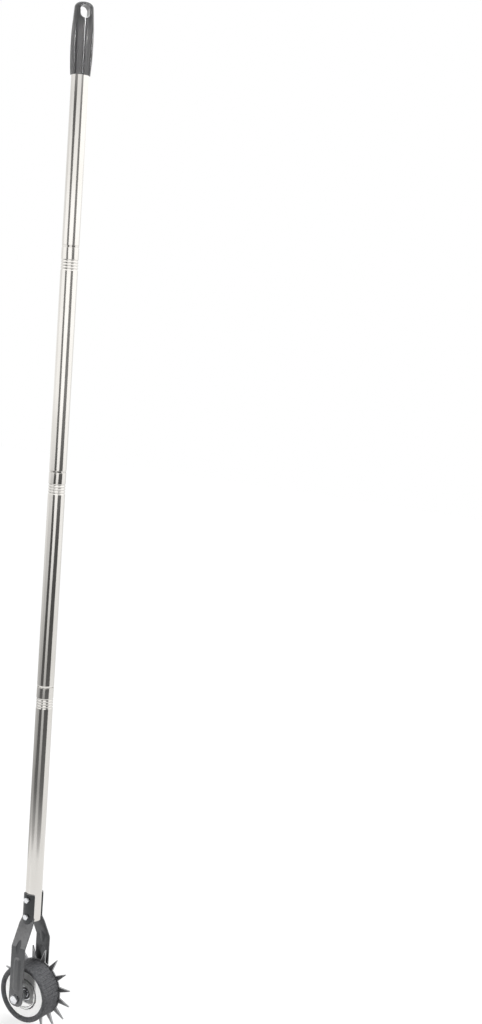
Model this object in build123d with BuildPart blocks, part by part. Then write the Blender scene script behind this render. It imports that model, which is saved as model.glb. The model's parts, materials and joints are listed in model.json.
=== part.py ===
from build123d import *
import os
from math import cos, radians, sin, tan

# Rotary lawn edger: a roller wheel with a star blade, in a two-arm fork on a pole of four tubes.
# The pole stands along +Z, the axle lies along Y, and the tool rolls along X.
# The origin is on the ground under the axle. Sizes are in millimetres.
# "Near" is the side of the axle bolt's head, at -Y. "Far" is the blade's side, at +Y.

os.makedirs("parts", exist_ok=True)

# Star blade
spike_count = 16
spike_tip_r = 64.0
spike_tip_width = 1.2
spike_root_r = 44.5
spike_base_width = 9.2
spike_bevel = 0.4
blade_thick = 2.0
blade_bore_r = 14.0
blade_screw_count = 4
blade_screw_circle_r = 28.0
blade_screw_first_angle = 45.0
blade_screw_r = 2.0
blade_screw_length = 14.0

# The wheel stands on two spikes, which sets the axle's height
half_pitch = 180 / spike_count
axle_z = spike_tip_r * cos(radians(half_pitch)) + spike_tip_width / 2 * sin(radians(half_pitch))

# Wheel core and tyre, which reach from the near face to the far face along Y
near_face = -10.5
far_face = 20.0
rim_r = 35.5
rim_groove_depth = 2.0
rim_groove_width = 12.0
rim_groove_wall = 1.0
tyre_r = 43.5
tyre_shoulder_r = 2.0
tread_groove_count = 48
tread_groove_width = 1.8
tread_groove_depth = 0.7

# Rings round the hub on the core's near face
moat_r = 24.2
moat_depth = 5.0
moat_draft = 0.3
boss_r = 22.4
boss_rise = 1.5
boss_lip_r = 20.6
ring_groove_depth = 3.0
inner_ring_r = 19.3
inner_ring_drop = 0.3
ring_groove_draft = 0.2
seat_mouth_r = 12.9
hub_edge_round = 0.6

# Ball bearings of the common 8 x 22 x 7 size
bearing_bore_r = 4.0
bearing_r = 11.0
bearing_width = 7.0
ball_count = 7
ball_r = 1.984
ball_circle_r = 7.5
raceway_r = 2.06
inner_land_r = 6.05
outer_land_r = 9.05
seal_r = 9.5
seal_bore_r = 6.2
seal_thick = 0.6
seal_inset = 0.3
cage_bore_r = 6.8
cage_r = 8.2
cage_back = 2.4
cage_prongs = 0.8
near_bearing_y = -7.0
far_bearing_y = 12.0
hub_bore_r = 9.6
seat_chamfer = 0.8

# Axle bolt, the sleeves on it, and its nut
axle_r = 3.98
axle_head_flats = 12.0
axle_head_height = 5.0
axle_end_past_nut = 1.5
sleeve_bore_r = 4.05
sleeve_r = 5.5
axle_nut_flats = 13.0
axle_nut_height = 6.0
nut_collar_r = 5.9
nut_collar_height = 2.2
insert_r = 5.1
insert_height = 1.8
thread_clearance = 0.04
hex_edge_chamfer = 0.6

# Pole of four tubes. Each of the upper three has a crowned collar at its foot, and below that a neck
# that screws into the tube below it.
tube_r = 12.5
tube_wall = 1.0
tube_foot_z = axle_z + 117.4
tube_top_z = 1474.0
lowest_seam_z = 543.0
seam_pitch = 318.0
seam_count = 3
neck_clearance = 0.1
neck_length = 40.0
neck_root = 2.0
neck_lead = 0.6
edge_chamfer = 0.5
collar_height = 2.4
collar_crown = 0.5
ring_count = 4
ring_pitch = 4.0
ring_below_seam = 19.3
ring_depth = 0.55
ring_width = 2.4

# Hand grip
grip_foot_z = 1412.0
grip_foot_r = 13.9
grip_belly_z = 1446.0
grip_belly_r = 15.6
grip_neck_z = 1482.0
grip_neck_r = 14.7
grip_brow_z = 1505.5
grip_brow_r = 13.0
grip_top_z = 1510.0
grip_dome_r = 8.0
grip_foot_round = 0.6
grip_socket_clearance = 0.05
hang_hole_z = 1495.9
hang_hole_width = 13.2
hang_hole_height = 18.6
hang_hole_turn = 39.0
hang_hole_round = 1.0
flute_count = 8
flute_r = 2.4
flute_foot_depth = 0.6
flute_end_z = 1482.0
flute_end_depth = -0.1
hole_flute_end_depth = 1.6

# Fork arms, pressed from strip
arm_thick = 2.0
arm_width = 25.0
arm_outer_y = 29.6
arm_foot_z = axle_z - 11.8
arm_corner_r = 10.0
arm_bend_z = axle_z + 81.0
arm_bend_r = 4.0
flare_top_z = axle_z + 112.5
saddle_half_angle = 48.0
saddle_top_z = axle_z + 160.0
saddle_corner_r = 3.0
saddle_trim_margin = 0.25
fork_bolt_heights = (axle_z + 125.0, axle_z + 151.7)
fork_hole_r = 2.8
axle_hole_r = 4.2
bead_width = 14.0
bead_rise = 1.8
bead_slope = 27.0
bead_above_axle = 11.0
bead_below_bend = 15.0
gusset_dent_r = 5.0
gusset_dent_depth = 2.6

# Fork bolts and nuts
fork_bolt_r = 2.5
fork_head_flats = 8.0
fork_head_height = 3.5
fork_nut_height = 4.0
fork_bolt_end_past_nut = 1.5

# Values worked out from the sizes above
bore_r = tube_r - tube_wall
neck_r = bore_r - neck_clearance
neck_bore_r = neck_r - tube_wall
seams = [lowest_seam_z + seam_pitch * joint for joint in range(seam_count)]
saddle_r = tube_r + arm_thick
arm_inner_y = arm_outer_y - arm_thick
blade_far_y = far_face + blade_thick
axle_nut_end_y = arm_outer_y + axle_nut_height + nut_collar_height
axle_end_y = axle_nut_end_y + axle_end_past_nut
fork_bolt_end_y = saddle_r + fork_nut_height + fork_bolt_end_past_nut

# The axle's line, the section through it, and cross planes whose local Z looks along +Y
axle_line = Axis((0, 0, axle_z), (0, 1, 0))
axle_section = Plane(origin=(0, 0, axle_z), x_dir=(0, 1, 0), z_dir=(1, 0, 0))


def across_axle(y):
    """Plane across the axle at this Y."""
    return Plane(origin=(0, y, axle_z), x_dir=(1, 0, 0), z_dir=(0, 1, 0))


# Pole tubes, from the fork up
pole_tubes = [
    ("lower_tube", tube_foot_z, seams[0]),
    ("lower_middle_tube", seams[0], seams[1]),
    ("upper_middle_tube", seams[1], seams[2]),
    ("upper_tube", seams[2], tube_top_z),
]

for tube_name, foot_z, top_z in pole_tubes:
    with BuildPart() as tube:
        with BuildSketch(Plane.XZ):
            with BuildLine():
                wall_foot_z = foot_z + collar_height if foot_z in seams else foot_z
                outside = Polyline(
                    (tube_r - edge_chamfer, wall_foot_z),
                    (tube_r, wall_foot_z + edge_chamfer),
                    (tube_r, top_z - edge_chamfer),
                    (tube_r - edge_chamfer, top_z),
                    (bore_r, top_z),
                )
                if foot_z in seams:
                    collar = ThreePointArc(
                        (tube_r - collar_crown, foot_z),
                        (tube_r, foot_z + collar_height / 2),
                        outside @ 0,
                    )
                    Polyline(
                        outside @ 1,
                        (bore_r, wall_foot_z + neck_root + tube_wall),
                        (neck_bore_r, wall_foot_z + neck_root),
                        (neck_bore_r, foot_z - neck_length),
                        (neck_r - neck_lead, foot_z - neck_length),
                        (neck_r, foot_z - neck_length + neck_lead),
                        (neck_r, foot_z),
                        collar @ 0,
                    )
                else:
                    Polyline(outside @ 1, (bore_r, foot_z), outside @ 0)
            make_face()
            if top_z in seams:
                for ring in range(ring_count):
                    ring_z = top_z - ring_below_seam - ring_pitch * ring
                    with BuildLine():
                        ring_hollow = ThreePointArc(
                            (tube_r, ring_z - ring_width / 2),
                            (tube_r - ring_depth, ring_z),
                            (tube_r, ring_z + ring_width / 2),
                        )
                        Line(ring_hollow @ 1, ring_hollow @ 0)
                    make_face(mode=Mode.SUBTRACT)
        revolve(axis=Axis.Z)
        if foot_z == tube_foot_z:
            with BuildSketch(Plane.XZ):
                with Locations(*[(0, bolt_z) for bolt_z in fork_bolt_heights]):
                    Circle(fork_hole_r)
            extrude(amount=saddle_r, both=True, mode=Mode.SUBTRACT)
    tube.part.label = tube_name
    export_step(tube.part, f"parts/{tube_name}.step")


# Hand grip: a turned body with a hang hole through its dome and long finger flutes.
# Two of the flutes run up into the hole, one on each side.
turn = radians(hang_hole_turn)
hole_axis = Vector(cos(turn), -sin(turn), 0)
hole_face = Plane(origin=(0, 0, hang_hole_z), x_dir=(sin(turn), cos(turn), 0), z_dir=hole_axis)
hole_foot_z = hang_hole_z - hang_hole_height / 2
flute_foot_r = grip_foot_r - flute_foot_depth + flute_r
half_way = flute_count // 2

with BuildPart() as hand_grip:
    with BuildSketch(Plane.XZ) as grip_profile:
        with BuildLine():
            belly = ThreePointArc(
                (grip_foot_r, grip_foot_z), (grip_belly_r, grip_belly_z), (grip_neck_r, grip_neck_z)
            )
            brow = Line(belly @ 1, (grip_brow_r, grip_brow_z))
            crown = TangentArc((0, grip_top_z), brow @ 1, tangent=(1, 0))
            Polyline(crown @ 0, (0, grip_foot_z), belly @ 0)
        make_face()
        fillet(grip_profile.vertices().sort_by_distance((grip_brow_r, grip_brow_z))[0], radius=grip_dome_r)
        fillet(grip_profile.vertices().sort_by_distance((grip_foot_r, grip_foot_z))[0], radius=grip_foot_round)
    revolve(axis=Axis.Z)
    with BuildSketch(hole_face):
        SlotOverall(hang_hole_height, hang_hole_width, rotation=90)
    extrude(amount=2 * grip_belly_r, both=True, mode=Mode.SUBTRACT)
    hole_rims = hand_grip.edges(Select.LAST).filter_by(GeomType.LINE, reverse=True)
    fillet(hole_rims, radius=hang_hole_round)
    for flute in range(flute_count):
        outwards = hole_axis.rotate(Axis.Z, 360 * flute / flute_count)
        end_z, end_depth = flute_end_z, flute_end_depth
        if flute % half_way == 0:
            end_z, end_depth = hole_foot_z + hang_hole_round, hole_flute_end_depth
        flute_start = outwards * flute_foot_r + Vector(0, 0, grip_foot_z)
        flute_end = outwards * (grip_neck_r - end_depth + flute_r) + Vector(0, 0, end_z)
        with BuildSketch(Plane(origin=flute_start, z_dir=flute_end - flute_start)):
            Circle(flute_r)
        extrude(amount=end_z - grip_foot_z, mode=Mode.SUBTRACT)
    with BuildSketch(Plane.XY.offset(grip_foot_z)):
        Circle(tube_r + grip_socket_clearance)
    extrude(amount=tube_top_z - grip_foot_z, mode=Mode.SUBTRACT)
hand_grip.part.label = "hand_grip"
export_step(hand_grip.part, "parts/hand_grip.step")


# Fork arms: a saddle that hugs the tube, a flare, a bend with a pressed gusset, and a straight leg.
# The strip's middle line runs in the YZ plane, from the saddle's side edges down to the leg's foot.
leg_y = arm_outer_y - arm_thick / 2
saddle_middle_y = saddle_r - arm_thick / 2
saddle_edge_x = saddle_r * sin(radians(saddle_half_angle))
saddle_edge_y = saddle_r * cos(radians(saddle_half_angle))
saddle_trim_x = saddle_edge_x + saddle_trim_margin
flare_slope = (leg_y - saddle_middle_y) / (flare_top_z - arm_bend_z)
saddle_edge_z = flare_top_z + (saddle_middle_y - saddle_edge_y) / flare_slope
bend_point = Vector(0, -leg_y, arm_bend_z)
flare_point = Vector(0, -saddle_edge_y, saddle_edge_z)
flare_up = (flare_point - bend_point).normalized()
flare_end = flare_point + flare_up * arm_thick
chord_up = (flare_up + Vector(0, 0, 1)).normalized()
chord_out = Vector(0, -chord_up.Z, chord_up.Y)
gusset_r = gusset_dent_r + arm_thick
gusset_reach = (gusset_dent_depth + arm_thick) / chord_up.Y
gusset_low = bend_point - Vector(0, 0, gusset_reach)
gusset_high = bend_point + flare_up * gusset_reach
dent_middle = bend_point + chord_out * (arm_thick / 2 - gusset_dent_depth + gusset_dent_r)
dent_section = Plane(origin=dent_middle, x_dir=(1, 0, 0), z_dir=chord_up)
bead_taper = 90 - bead_slope
bead_foot_z = axle_z + bead_above_axle
bead_length = arm_bend_z - bead_below_bend - bead_foot_z
bead_middle_z = bead_foot_z + bead_length / 2
bead_back_inset = 2 * arm_thick * tan(radians(bead_slope / 2))
bead_back_length = bead_length - bead_back_inset
bead_back_width = bead_width - bead_back_inset

# The gusset is a round rib across the inside of the bend, as thick as the strip it is pressed from
with BuildPart() as gusset:
    with BuildSketch(dent_section):
        Circle(gusset_r)
    extrude(amount=gusset_reach, both=True)
    with BuildSketch(Plane.YZ):
        with BuildLine():
            Polyline(
                (gusset_low.Y, gusset_low.Z),
                (bend_point.Y, bend_point.Z),
                (gusset_high.Y, gusset_high.Z),
                close=True,
            )
        make_face()
    extrude(amount=gusset_r, both=True, mode=Mode.INTERSECT)

with BuildPart() as near_fork_arm:
    with BuildSketch(Plane.XY.offset(arm_bend_z)):
        Circle(saddle_r)
        with BuildLine():
            Polyline(
                (0, 0),
                (-2 * saddle_edge_x, -2 * saddle_edge_y),
                (2 * saddle_edge_x, -2 * saddle_edge_y),
                close=True,
            )
        make_face(mode=Mode.INTERSECT)
    extrude(amount=saddle_top_z - arm_bend_z)
    with BuildSketch(Plane.YZ):
        with BuildLine():
            Polyline(
                (bend_point.Y, arm_bend_z),
                (0, arm_bend_z + leg_y / flare_slope),
                (0, arm_bend_z),
                close=True,
            )
        make_face()
    extrude(amount=arm_width, both=True, mode=Mode.SUBTRACT)
    with BuildSketch(Plane.YZ):
        with BuildLine():
            FilletPolyline(
                (flare_end.Y, flare_end.Z),
                (bend_point.Y, bend_point.Z),
                (bend_point.Y, arm_foot_z),
                radius=arm_bend_r,
            )
        trace(line_width=arm_thick)
    extrude(amount=arm_width / 2, both=True)
    with BuildSketch(Plane.XZ.offset(arm_outer_y)):
        with Locations((0, bead_middle_z)):
            SlotOverall(bead_length, bead_width, rotation=90)
    extrude(amount=bead_rise, taper=bead_taper)
    with BuildSketch(Plane.XZ.offset(arm_inner_y)):
        with Locations((0, bead_middle_z)):
            SlotOverall(bead_back_length, bead_back_width, rotation=90)
    extrude(amount=bead_rise, taper=bead_taper, mode=Mode.SUBTRACT)
    add(gusset.part)
    with BuildSketch(dent_section):
        Circle(gusset_dent_r)
    extrude(amount=gusset_reach, both=True, mode=Mode.SUBTRACT)
    with BuildSketch(Plane.XY.offset(arm_bend_z)):
        Circle(tube_r)
    extrude(amount=saddle_top_z - arm_bend_z, mode=Mode.SUBTRACT)
    with BuildSketch(Plane.XZ) as arm_front:
        with BuildLine():
            Polyline(
                (arm_width / 2, arm_foot_z),
                (arm_width / 2, flare_top_z),
                (saddle_trim_x, saddle_edge_z),
                (saddle_trim_x, saddle_top_z),
                (-saddle_trim_x, saddle_top_z),
                (-saddle_trim_x, saddle_edge_z),
                (-arm_width / 2, flare_top_z),
                (-arm_width / 2, arm_foot_z),
                close=True,
            )
        make_face()
        fillet(arm_front.vertices().group_by(Axis.Y)[0], radius=arm_corner_r)
        fillet(arm_front.vertices().group_by(Axis.Y)[-1], radius=saddle_corner_r)
        with Locations((0, axle_z)):
            Circle(axle_hole_r, mode=Mode.SUBTRACT)
        with Locations(*[(0, bolt_z) for bolt_z in fork_bolt_heights]):
            Circle(fork_hole_r, mode=Mode.SUBTRACT)
    extrude(amount=2 * arm_outer_y, mode=Mode.INTERSECT)
near_fork_arm.part.label = "near_fork_arm"
export_step(near_fork_arm.part, "parts/near_fork_arm.step")

with BuildPart() as far_fork_arm:
    mirror(near_fork_arm.part, about=Plane.XZ)
far_fork_arm.part.label = "far_fork_arm"
export_step(far_fork_arm.part, "parts/far_fork_arm.step")


# Fork bolts and nuts: the heads bear on the near saddle, and the nuts on the far one
with BuildPart() as fork_bolts:
    for bolt_z in fork_bolt_heights:
        with BuildSketch(Plane.XZ.offset(saddle_r)):
            with Locations((0, bolt_z)):
                RegularPolygon(fork_head_flats / 2, 6, major_radius=False)
        extrude(amount=fork_head_height)
        with BuildSketch(Plane.XZ.offset(saddle_r)):
            with Locations((0, bolt_z)):
                Circle(fork_bolt_r)
        extrude(amount=-saddle_r - fork_bolt_end_y)
    chamfer(fork_bolts.faces().group_by(Axis.Y)[0].edges(), length=hex_edge_chamfer)
fork_bolts.part.label = "fork_bolts"
export_step(fork_bolts.part, "parts/fork_bolts.step")

with BuildPart() as fork_nuts:
    for bolt_z in fork_bolt_heights:
        with BuildSketch(Plane.XZ.offset(-saddle_r)):
            with Locations((0, bolt_z)):
                RegularPolygon(fork_head_flats / 2, 6, major_radius=False)
                Circle(fork_bolt_r + thread_clearance, mode=Mode.SUBTRACT)
        extrude(amount=-fork_nut_height)
fork_nuts.part.label = "fork_nuts"
export_step(fork_nuts.part, "parts/fork_nuts.step")


# Axle bolt, and its self-locking nut with a nylon ring in the collar
with BuildPart() as axle_bolt:
    with BuildSketch(across_axle(-arm_outer_y)):
        RegularPolygon(axle_head_flats / 2, 6, major_radius=False)
    extrude(amount=-axle_head_height)
    with BuildSketch(across_axle(-arm_outer_y)):
        Circle(axle_r)
    extrude(amount=arm_outer_y + axle_end_y)
    chamfer(axle_bolt.faces().sort_by(Axis.Y)[0].edges(), length=hex_edge_chamfer)
axle_bolt.part.label = "axle_bolt"
export_step(axle_bolt.part, "parts/axle_bolt.step")

with BuildPart() as axle_nut:
    with BuildSketch(across_axle(arm_outer_y)):
        RegularPolygon(axle_nut_flats / 2, 6, major_radius=False)
    extrude(amount=axle_nut_height)
    with BuildSketch(across_axle(arm_outer_y)):
        Circle(nut_collar_r)
    extrude(amount=axle_nut_height + nut_collar_height)
    with BuildSketch(across_axle(arm_outer_y)):
        Circle(axle_r + thread_clearance)
    extrude(amount=axle_nut_height + nut_collar_height, mode=Mode.SUBTRACT)
    with BuildSketch(across_axle(axle_nut_end_y)):
        Circle(insert_r)
    extrude(amount=-insert_height, mode=Mode.SUBTRACT)
axle_nut.part.label = "axle_nut"
export_step(axle_nut.part, "parts/axle_nut.step")

# Sleeves on the axle: the spacers, the tube between the bearings, and the nut's nylon ring
sleeves = [
    ("near_axle_spacer", -arm_inner_y, near_bearing_y, sleeve_r, sleeve_bore_r),
    ("hub_sleeve", near_bearing_y + bearing_width, far_bearing_y, sleeve_r, sleeve_bore_r),
    ("far_axle_spacer", far_bearing_y + bearing_width, arm_inner_y, sleeve_r, sleeve_bore_r),
    ("axle_nut_insert", axle_nut_end_y - insert_height, axle_nut_end_y, insert_r, axle_r + thread_clearance),
]

for sleeve_name, start_y, end_y, outer_r, inner_r in sleeves:
    with BuildPart() as sleeve:
        with BuildSketch(across_axle(start_y)):
            Circle(outer_r)
            Circle(inner_r, mode=Mode.SUBTRACT)
        extrude(amount=end_y - start_y)
    sleeve.part.label = sleeve_name
    export_step(sleeve.part, f"parts/{sleeve_name}.step")


# Wheel core: a moulded disc with a hub boss, two bearing seats and a groove that locks the tyre
boss_y = near_face - boss_rise
moat_y = near_face + moat_depth
ring_groove_y = boss_y + ring_groove_depth
inner_ring_y = boss_y + inner_ring_drop
near_seat_end_y = near_bearing_y + bearing_width
hub_edges = [
    (near_face, moat_r),
    (boss_y, boss_r),
    (boss_y, boss_lip_r),
    (inner_ring_y, inner_ring_r),
    (inner_ring_y, seat_mouth_r),
]
rim_middle_y = (near_face + far_face) / 2
rim_groove_near_y = rim_middle_y - rim_groove_width / 2
rim_groove_far_y = rim_middle_y + rim_groove_width / 2
rim_groove_r = rim_r - rim_groove_depth

with BuildPart() as wheel_core:
    with BuildSketch(axle_section) as core_profile:
        with BuildLine():
            Polyline(
                (near_face, rim_r),
                (near_face, moat_r),
                (moat_y, moat_r - moat_draft),
                (moat_y, boss_r + moat_draft),
                (boss_y, boss_r),
                (boss_y, boss_lip_r),
                (ring_groove_y, boss_lip_r - ring_groove_draft),
                (ring_groove_y, inner_ring_r + ring_groove_draft),
                (inner_ring_y, inner_ring_r),
                (inner_ring_y, seat_mouth_r),
                (near_bearing_y, bearing_r),
                (near_seat_end_y, bearing_r),
                (near_seat_end_y, hub_bore_r),
                (far_bearing_y, hub_bore_r),
                (far_bearing_y, bearing_r),
                (far_face - seat_chamfer, bearing_r),
                (far_face, bearing_r + seat_chamfer),
                (far_face, rim_r),
                (rim_groove_far_y, rim_r),
                (rim_groove_far_y - rim_groove_wall, rim_groove_r),
                (rim_groove_near_y + rim_groove_wall, rim_groove_r),
                (rim_groove_near_y, rim_r),
                close=True,
            )
        make_face()
        for edge_y, edge_r in hub_edges:
            fillet(core_profile.vertices().sort_by_distance((edge_y, edge_r))[0], radius=hub_edge_round)
    revolve(axis=axle_line)
    with Locations(across_axle(far_face)):
        with PolarLocations(blade_screw_circle_r, blade_screw_count, blade_screw_first_angle):
            Hole(blade_screw_r, depth=blade_screw_length - blade_thick)
wheel_core.part.label = "wheel_core"
export_step(wheel_core.part, "parts/wheel_core.step")


# Tyre: a ring with rounded shoulders, a rib that fills the core's groove, and cross grooves
with BuildPart() as tyre:
    with BuildSketch(axle_section) as tyre_profile:
        with BuildLine():
            Polyline(
                (near_face, rim_r),
                (near_face, tyre_r),
                (far_face, tyre_r),
                (far_face, rim_r),
                (rim_groove_far_y, rim_r),
                (rim_groove_far_y - rim_groove_wall, rim_groove_r),
                (rim_groove_near_y + rim_groove_wall, rim_groove_r),
                (rim_groove_near_y, rim_r),
                close=True,
            )
        make_face()
        fillet(tyre_profile.vertices().group_by(Axis.Y)[-1], radius=tyre_shoulder_r)
    revolve(axis=axle_line)
    with BuildSketch(across_axle(near_face)):
        with PolarLocations(tyre_r, tread_groove_count):
            Rectangle(2 * tread_groove_depth, tread_groove_width)
    extrude(amount=far_face - near_face, mode=Mode.SUBTRACT)
tyre.part.label = "tyre"
export_step(tyre.part, "parts/tyre.step")


# Star blade: a flat plate with tapered spikes, bevelled on the side that faces the tyre
spike_foot_r = spike_root_r - blade_thick

with BuildPart() as star_blade:
    with BuildSketch(across_axle(far_face)):
        Circle(spike_root_r)
        with PolarLocations(0, spike_count, half_pitch):
            Polygon(
                (spike_foot_r, -spike_base_width / 2),
                (spike_tip_r, -spike_tip_width / 2),
                (spike_tip_r, spike_tip_width / 2),
                (spike_foot_r, spike_base_width / 2),
                align=None,
            )
        Circle(blade_bore_r, mode=Mode.SUBTRACT)
    extrude(amount=blade_thick)
    near_edges = star_blade.edges().filter_by(GeomType.LINE).group_by(Axis.Y)[0]
    chamfer(near_edges.filter_by(lambda edge: edge.length > spike_base_width), length=spike_bevel)
    with Locations(across_axle(blade_far_y)):
        with PolarLocations(blade_screw_circle_r, blade_screw_count, blade_screw_first_angle):
            CounterSinkHole(blade_screw_r, blade_screw_r + blade_thick, counter_sink_angle=90)
star_blade.part.label = "star_blade"
export_step(star_blade.part, "parts/star_blade.step")

with BuildPart(across_axle(blade_far_y)) as star_screws:
    with PolarLocations(blade_screw_circle_r, blade_screw_count, blade_screw_first_angle):
        Cone(
            blade_screw_r,
            blade_screw_r + blade_thick,
            blade_thick,
            align=(Align.CENTER, Align.CENTER, Align.MAX),
        )
        Cylinder(
            blade_screw_r,
            blade_screw_length,
            align=(Align.CENTER, Align.CENTER, Align.MAX),
        )
star_screws.part.label = "star_screws"
export_step(star_screws.part, "parts/star_screws.step")


# Ball bearings: two races, seven balls in a crown cage, and a seal at each end
for side, bearing_y in (("near", near_bearing_y), ("far", far_bearing_y)):
    bearing_end_y = bearing_y + bearing_width
    middle_y = bearing_y + bearing_width / 2
    seal_step = seal_inset + seal_thick

    with BuildPart() as inner_race:
        with BuildSketch(axle_section):
            with Locations((bearing_y, bearing_bore_r)):
                Rectangle(bearing_width, inner_land_r - bearing_bore_r, align=Align.MIN)
            with Locations((middle_y, ball_circle_r)):
                Circle(raceway_r, mode=Mode.SUBTRACT)
        revolve(axis=axle_line)
    inner_race.part.label = f"{side}_bearing_inner_race"
    export_step(inner_race.part, f"parts/{side}_bearing_inner_race.step")

    with BuildPart() as outer_race:
        with BuildSketch(axle_section):
            with Locations((bearing_y, outer_land_r)):
                Rectangle(bearing_width, bearing_r - outer_land_r, align=Align.MIN)
            with Locations((bearing_y, outer_land_r), (bearing_end_y - seal_step, outer_land_r)):
                Rectangle(seal_step, seal_r - outer_land_r, align=Align.MIN, mode=Mode.SUBTRACT)
            with Locations((middle_y, ball_circle_r)):
                Circle(raceway_r, mode=Mode.SUBTRACT)
        revolve(axis=axle_line)
    outer_race.part.label = f"{side}_bearing_outer_race"
    export_step(outer_race.part, f"parts/{side}_bearing_outer_race.step")

    with BuildPart(across_axle(middle_y)) as balls:
        with PolarLocations(ball_circle_r, ball_count):
            Sphere(ball_r)
    balls.part.label = f"{side}_bearing_balls"
    export_step(balls.part, f"parts/{side}_bearing_balls.step")

    with BuildPart(across_axle(middle_y)) as cage:
        with BuildSketch(across_axle(middle_y - cage_prongs)):
            Circle(cage_r)
            Circle(cage_bore_r, mode=Mode.SUBTRACT)
        extrude(amount=cage_prongs + cage_back)
        with PolarLocations(ball_circle_r, ball_count):
            Sphere(raceway_r, mode=Mode.SUBTRACT)
    cage.part.label = f"{side}_bearing_cage"
    export_step(cage.part, f"parts/{side}_bearing_cage.step")

    with BuildPart() as seals:
        for seal_y in (bearing_y + seal_inset, bearing_end_y - seal_step):
            with BuildSketch(across_axle(seal_y)):
                Circle(seal_r)
                Circle(seal_bore_r, mode=Mode.SUBTRACT)
            extrude(amount=seal_thick)
    seals.part.label = f"{side}_bearing_seals"
    export_step(seals.part, f"parts/{side}_bearing_seals.step")
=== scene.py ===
# %% [markdown]
# # Dressing a rotary lawn edger
#
# The tool is a polished pole of four screwed tubes, a black pressed fork, and a wheel with a star
# blade. The frame holds every piece at its real size and in its real place, so nothing here is
# moved or scaled. This lesson gives each piece the surface of the real one, and makes a piece
# again only where the real surface needs a finer mesh than the frame has.

# %% Load the frame
import json
import math

import bmesh
import bpy
from mathutils import Matrix, Vector


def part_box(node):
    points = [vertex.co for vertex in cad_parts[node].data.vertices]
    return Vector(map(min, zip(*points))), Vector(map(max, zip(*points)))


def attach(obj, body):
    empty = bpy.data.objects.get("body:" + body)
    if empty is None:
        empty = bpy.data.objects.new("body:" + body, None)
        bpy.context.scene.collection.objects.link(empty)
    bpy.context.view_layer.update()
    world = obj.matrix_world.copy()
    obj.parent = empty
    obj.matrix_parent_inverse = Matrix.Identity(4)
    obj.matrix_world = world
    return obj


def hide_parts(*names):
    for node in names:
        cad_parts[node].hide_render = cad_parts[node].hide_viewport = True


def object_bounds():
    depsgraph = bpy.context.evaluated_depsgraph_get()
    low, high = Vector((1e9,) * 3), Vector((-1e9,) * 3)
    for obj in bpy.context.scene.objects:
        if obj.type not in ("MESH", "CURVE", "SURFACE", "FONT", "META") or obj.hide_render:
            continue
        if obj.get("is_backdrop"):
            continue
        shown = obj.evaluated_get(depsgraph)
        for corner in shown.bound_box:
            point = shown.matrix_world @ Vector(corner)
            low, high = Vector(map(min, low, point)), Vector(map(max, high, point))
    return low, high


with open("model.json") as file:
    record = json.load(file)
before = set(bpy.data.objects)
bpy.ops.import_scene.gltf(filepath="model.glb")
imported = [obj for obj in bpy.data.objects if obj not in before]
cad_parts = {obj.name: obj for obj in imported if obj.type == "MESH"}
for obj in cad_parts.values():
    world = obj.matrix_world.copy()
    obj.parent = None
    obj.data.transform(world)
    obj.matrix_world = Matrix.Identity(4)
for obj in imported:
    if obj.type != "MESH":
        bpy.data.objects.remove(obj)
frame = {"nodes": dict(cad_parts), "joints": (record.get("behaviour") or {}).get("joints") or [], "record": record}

MM = 0.001
nodes = frame["nodes"]
cad_low, cad_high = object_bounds()
wheel_joint = next(joint for joint in frame["joints"] if joint["name"] == "wheel_spin")
axle = Vector(wheel_joint["pos_m"])
print("frame:", len(nodes), "nodes,", [round(side / MM, 1) for side in cad_high - cad_low], "mm")

# %% [markdown]
# ## Camera
#
# A camera match starts from lines whose real size is known. Here they were the pole's edges and
# the wheel's rim. The camera stands 2 m away, 39 degrees round from the wheel's near side and high
# above it, so it looks down on the wheel and slightly up at the grip. It is turned a little off
# the pole and rolled, because the pole leans in the picture. Angles say that more clearly than a
# matrix would.

# %% Place the camera
PICTURE_HEIGHT_PX = 1024
FOCAL_LENGTH_PX = 1390
view_turn = math.radians(38.90)
view_distance = 2.0
view_rise = 1.05
aim_turn = math.radians(-7.673)
aim_tilt = math.radians(-8.3425)
aim_roll = math.radians(4.377)

towards_camera = Vector((math.sin(view_turn), -math.cos(view_turn), 0))
camera_data = bpy.data.cameras.new("camera")
camera_data.lens = camera_data.sensor_width * FOCAL_LENGTH_PX / PICTURE_HEIGHT_PX
camera = bpy.data.objects.new("camera", camera_data)
bpy.context.scene.collection.objects.link(camera)
camera.matrix_world = (
    Matrix.Translation(axle + towards_camera * view_distance + Vector((0, 0, view_rise)))
    @ Matrix.Rotation(view_turn + aim_turn, 4, "Z")
    @ Matrix.Rotation(math.radians(90) + aim_tilt, 4, "X")
    @ Matrix.Rotation(aim_roll, 4, "Z")
)
bpy.context.scene.camera = camera
print("camera:", [round(value, 3) for value in camera.matrix_world.translation], "m")

# %% [markdown]
# ## White background
#
# The picture's background is pure white. More light on the tool would bleach it, so the white
# comes from the floor and the world themselves: rays from the camera, and from mirror-like
# metal, see plain white there, and every other ray sees a modest grey that only fills shadows.

# %% White world
bpy.context.scene.view_settings.view_transform = "Standard"
fill_level = 0.06


def seen_directly(tree):
    """Socket that is 1 for rays from the camera, from gloss and through glass, and 0 for light."""
    path = tree.nodes.new("ShaderNodeLightPath")
    glossy_too = tree.nodes.new("ShaderNodeMath")
    glossy_too.operation = "MAXIMUM"
    glass_too = tree.nodes.new("ShaderNodeMath")
    glass_too.operation = "MAXIMUM"
    tree.links.new(path.outputs["Is Camera Ray"], glossy_too.inputs[0])
    tree.links.new(path.outputs["Is Glossy Ray"], glossy_too.inputs[1])
    tree.links.new(glossy_too.outputs[0], glass_too.inputs[0])
    tree.links.new(path.outputs["Is Transmission Ray"], glass_too.inputs[1])
    return glass_too.outputs[0]


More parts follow.
